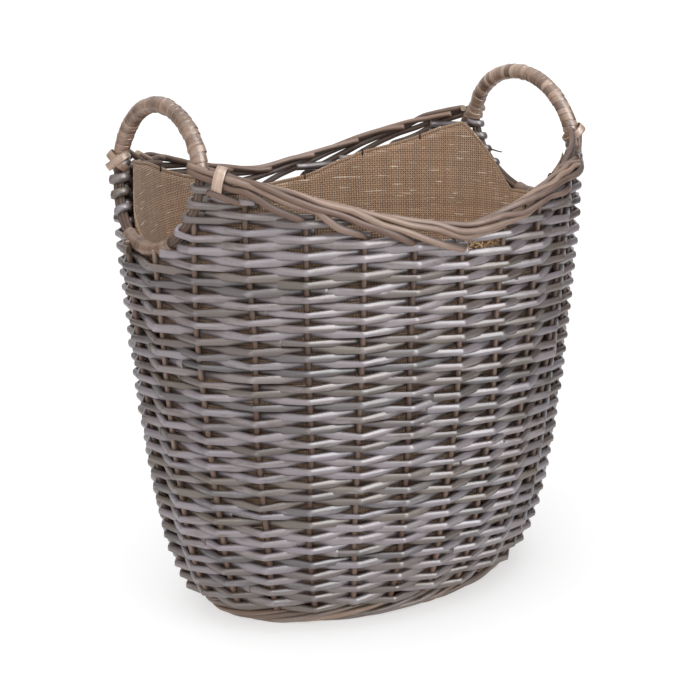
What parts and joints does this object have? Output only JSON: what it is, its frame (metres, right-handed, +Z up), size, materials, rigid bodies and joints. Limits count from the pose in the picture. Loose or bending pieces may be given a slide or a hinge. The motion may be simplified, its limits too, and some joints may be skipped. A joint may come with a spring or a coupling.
{
  "type": "wicker log basket",
  "caption": "Tall oval willow basket with a flared wall, dipped sides, two hoop handles over hand holes, a foot border and a hessian liner.",
  "frame": {"origin": "on the ground under the middle of the basket", "axes": "+Z up, X through the two handles (left handle at -X), -Y is the near long side"},
  "size_m": [0.4718, 0.3818, 0.5083],
  "materials": {
    "stake_willow": "dark reddish brown peeled willow rods, matt",
    "washed_willow": "grey-brown antique washed willow rods, low sheen",
    "buff_willow": "buff brown willow rods, low sheen",
    "split_cane": "split cane skin, satin",
    "hessian": "plain woven hessian with slubs, matt"
  },
  "bodies": {
    "root": {"base_mat": "washed_willow", "cane_lashing_left_far": "split_cane", "cane_lashing_left_near": "split_cane", "cane_lashing_right_far": "split_cane", "cane_lashing_right_near": "split_cane", "cross_stick_1": "stake_willow", "cross_stick_2": "stake_willow", "cross_stick_3": "stake_willow", "foot_border": "buff_willow", "grip_wrap_left": "split_cane", "grip_wrap_right": "split_cane", "handle_hoop_left": "buff_willow", "handle_hoop_right": "buff_willow", "hessian_liner": "hessian", "long_stick_1": "stake_willow", "long_stick_2": "stake_willow", "rim_border_far": "buff_willow", "rim_border_near": "buff_willow", "shoulder_weave_far": "washed_willow", "shoulder_weave_near": "washed_willow", "sill_wrap_left": "split_cane", "sill_wrap_right": "split_cane", "stake_01": "stake_willow", "stake_02": "stake_willow", "stake_03": "stake_willow", "stake_04": "stake_willow", "stake_05": "stake_willow", "stake_06": "stake_willow", "stake_07": "stake_willow", "stake_08": "stake_willow", "stake_09": "stake_willow", "stake_10": "stake_willow", "stake_11": "stake_willow", "stake_12": "stake_willow", "stake_13": "stake_willow", "stake_14": "stake_willow", "stake_15": "stake_willow", "stake_16": "stake_willow", "stake_17": "stake_willow", "stake_18": "stake_willow", "stake_19": "stake_willow", "stake_20": "stake_willow", "stake_21": "stake_willow", "stake_22": "stake_willow", "stake_23": "stake_willow", "stake_24": "stake_willow", "stake_25": "stake_willow", "stake_26": "stake_willow", "weave_course_1": "washed_willow", "weave_course_2": "washed_willow", "weave_course_3": "washed_willow", "weave_course_4": "washed_willow", "weave_course_5": "washed_willow", "weave_course_6": "washed_willow"}
  },
  "joints": []
}
